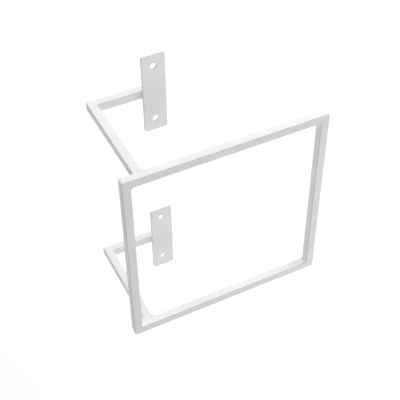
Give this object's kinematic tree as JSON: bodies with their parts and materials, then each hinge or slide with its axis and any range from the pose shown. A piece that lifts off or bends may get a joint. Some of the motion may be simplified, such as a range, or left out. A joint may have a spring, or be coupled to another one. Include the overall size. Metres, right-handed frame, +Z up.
{
  "type": "wall frame hanger",
  "caption": "Square bar frame held off the wall by two L-shaped arms with drilled wall plates; carries a shelf board or a hung item.",
  "frame": {"origin": "on the wall, at the middle of the upper wall bar's back face on the plates' centre line", "axes": "+X right along the wall as seen from the room, +Y into the wall, +Z up"},
  "size_m": [0.2, 0.114, 0.2764],
  "materials": {
    "bar_coat": "semi-matt white powder coat on square steel bar",
    "plate_coat": "semi-matt white powder coat on flat steel plate",
    "weld_coat": "semi-matt white powder coat over ground weld metal"
  },
  "bodies": {
    "root": {"frame_bottom_bar": "bar_coat", "frame_right_upright": "bar_coat", "frame_top_bar": "bar_coat", "frame_left_upright": "bar_coat", "frame_weld_bottom_left": "weld_coat", "frame_weld_bottom_right": "weld_coat", "frame_weld_top_right": "weld_coat", "frame_weld_top_left": "weld_coat", "upper_side_bar": "bar_coat", "upper_wall_bar": "bar_coat", "upper_elbow_weld": "weld_coat", "upper_arm_weld": "weld_coat", "upper_wall_plate": "plate_coat", "upper_plate_weld_above": "weld_coat", "upper_plate_weld_below": "weld_coat", "lower_side_bar": "bar_coat", "lower_wall_bar": "bar_coat", "lower_elbow_weld": "weld_coat", "lower_arm_weld": "weld_coat", "lower_arm_weld_left": "weld_coat", "lower_wall_plate": "plate_coat", "lower_plate_weld_above": "weld_coat", "lower_plate_weld_below": "weld_coat"}
  },
  "joints": []
}
